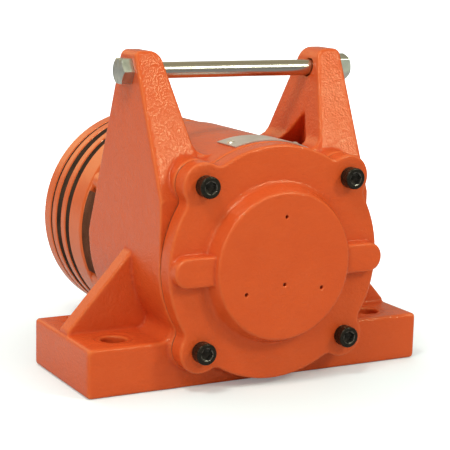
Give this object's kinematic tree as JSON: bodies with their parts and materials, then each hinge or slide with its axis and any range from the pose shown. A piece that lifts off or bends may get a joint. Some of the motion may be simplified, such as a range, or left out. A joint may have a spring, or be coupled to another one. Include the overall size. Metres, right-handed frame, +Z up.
{
  "type": "pneumatic vibration motor",
  "caption": "Air-turbine vibration motor: cast base and round body with leaning towers that carry a lifting bar, a bossed front cover and a stacked felt muffler behind.",
  "frame": {"origin": "centre of the base bolt pattern on the underside of the base", "axes": "+Z up, X along the length of the base, the shaft runs along Y and the front cover faces -Y"},
  "size_m": [0.294, 0.2655, 0.2535],
  "materials": {
    "orange_enamel": "glossy orange enamel over a pebbled iron casting",
    "bright_steel": "bright drawn steel with zinc-plated hex ends",
    "black_oxide_steel": "oiled black oxide",
    "blank_plate_aluminium": "thin satin plate, left blank",
    "pin_steel": "plain steel drive pins",
    "gasket_sheet": "dark fibre gasket sheet",
    "felt": "dense dark brown felt",
    "machined_steel": "turned steel",
    "bearing_steel": "ground bearing steel",
    "cage_brass": "machined brass",
    "seal_rubber": "black nitrile rubber",
    "machined_aluminium": "machined aluminium"
  },
  "bodies": {
    "housing": {"main_housing": "orange_enamel", "front_cover": "orange_enamel", "rear_cover": "orange_enamel", "turbine_casing": "orange_enamel", "muffler_ring_1": "orange_enamel", "muffler_ring_2": "orange_enamel", "end_cap": "orange_enamel", "lifting_bolt": "bright_steel", "lifting_nut": "bright_steel", "front_cover_screws": "black_oxide_steel", "stack_screws": "black_oxide_steel", "rear_bearing_retaining_ring": "black_oxide_steel", "nameplate": "blank_plate_aluminium", "nameplate_pins": "pin_steel", "front_cover_gasket": "gasket_sheet", "rear_cover_gasket": "gasket_sheet", "exhaust_felt_band": "felt", "muffler_felt_1": "felt", "muffler_felt_2": "felt", "muffler_felt_3": "felt", "front_bearing_outer_ring": "bearing_steel", "rear_bearing_outer_ring": "bearing_steel", "shaft_seal": "seal_rubber", "nozzle_plate": "machined_aluminium", "inlet_tube": "machined_aluminium"},
    "rotor": {"rotor_shaft": "machined_steel", "eccentric_weight": "machined_steel", "weight_key": "machined_steel", "weight_retaining_rings": "black_oxide_steel", "turbine_wheel": "machined_aluminium", "turbine_key": "machined_steel", "turbine_washer": "machined_steel", "turbine_nut": "machined_steel", "front_bearing_inner_ring": "bearing_steel", "rear_bearing_inner_ring": "bearing_steel"},
    "front_cage": {"front_bearing_rollers": "bearing_steel", "front_bearing_cage": "cage_brass"},
    "rear_cage": {"rear_bearing_rollers": "bearing_steel", "rear_bearing_cage": "cage_brass"}
  },
  "joints": [
    {"name": "rotor_spin", "type": "hinge", "parent": "housing", "child": "rotor", "pos_m": [0, 0, 0.0962], "axis": [0, 1, 0], "continuous": true},
    {"name": "front_cage_spin", "type": "hinge", "parent": "housing", "child": "front_cage", "pos_m": [0, 0, 0.0962], "axis": [0, 1, 0], "continuous": true},
    {"name": "rear_cage_spin", "type": "hinge", "parent": "housing", "child": "rear_cage", "pos_m": [0, 0, 0.0962], "axis": [0, 1, 0], "continuous": true}
  ],
  "couplings": [
    {"joint": "front_cage_spin", "follows": "rotor_spin", "ratio": 0.39394},
    {"joint": "rear_cage_spin", "follows": "rotor_spin", "ratio": 0.39394}
  ]
}
